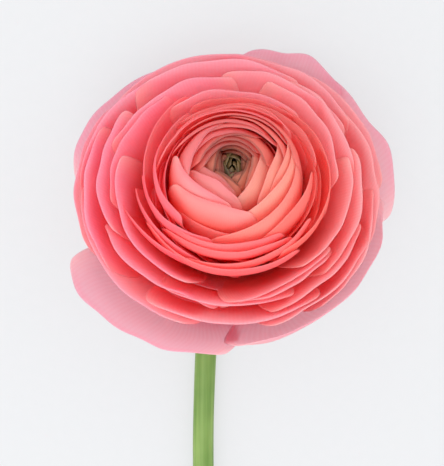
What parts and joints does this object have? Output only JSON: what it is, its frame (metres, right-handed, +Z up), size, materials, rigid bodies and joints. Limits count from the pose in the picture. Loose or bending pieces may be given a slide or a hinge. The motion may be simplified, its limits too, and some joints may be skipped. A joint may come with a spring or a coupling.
{
  "type": "ranunculus flower",
  "caption": "Cut ranunculus lying on a surface: a full domed bloom of thin overlapping coral-pink petals round a green heart, on a curved green stem.",
  "frame": {"origin": "on the surface that the flower lies on, under the middle of the flower's box", "axes": "+Z up; the stem lies along -Y from the bloom, and the bloom's face looks 58 degrees above the horizon towards +Y; +X to the right seen from above with the bloom at the top"},
  "size_m": [0.0761, 0.1701, 0.0512],
  "materials": {
    "heart_green": "matte",
    "inner_petal": "satin",
    "outer_petal": "satin",
    "guard_petal": "satin",
    "sepal_green": "matte",
    "stem_green": "satin"
  },
  "bodies": {
    "root": {"heart": "heart_green", "inner_petals": "inner_petal", "outer_petals": "outer_petal", "guard_petals": "guard_petal", "calyx": "sepal_green", "stem": "stem_green"}
  },
  "joints": []
}
